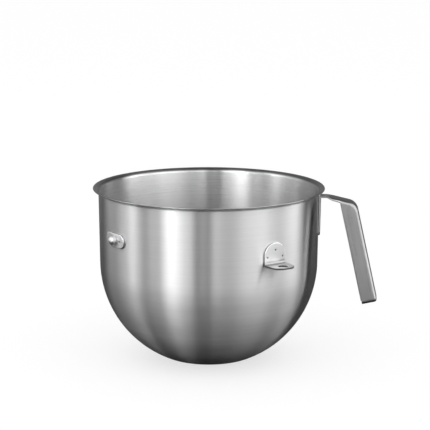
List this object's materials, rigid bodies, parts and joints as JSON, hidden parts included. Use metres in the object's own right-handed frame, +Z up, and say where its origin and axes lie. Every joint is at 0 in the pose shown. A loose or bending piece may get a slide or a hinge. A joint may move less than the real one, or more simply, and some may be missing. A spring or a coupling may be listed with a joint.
{
  "type": "stand mixer bowl",
  "caption": "Stainless bowl with a turned-out lip, a bent sheet handle, a latch pin on a plate at the back and an eyed bracket on each side, for a mixer that lifts its bowl.",
  "frame": {"origin": "centre of the base, on the plane that the foot ring stands on", "axes": "+Z up along the bowl's axis, +Y out along the latch pin, the two brackets at -X and +X"},
  "size_m": [0.286, 0.2744, 0.189],
  "materials": {
    "bowl_steel": "fine brushing round the bowl",
    "bracket_steel": "satin",
    "latch_steel": "satin",
    "pin_steel": "turned and polished",
    "handle_steel": "fine brushing along the handle"
  },
  "bodies": {
    "root": {"bowl_shell": "bowl_steel", "left_bracket": "bracket_steel", "right_bracket": "bracket_steel", "latch_plate": "latch_steel", "latch_pin": "pin_steel", "handle": "handle_steel"}
  },
  "joints": []
}
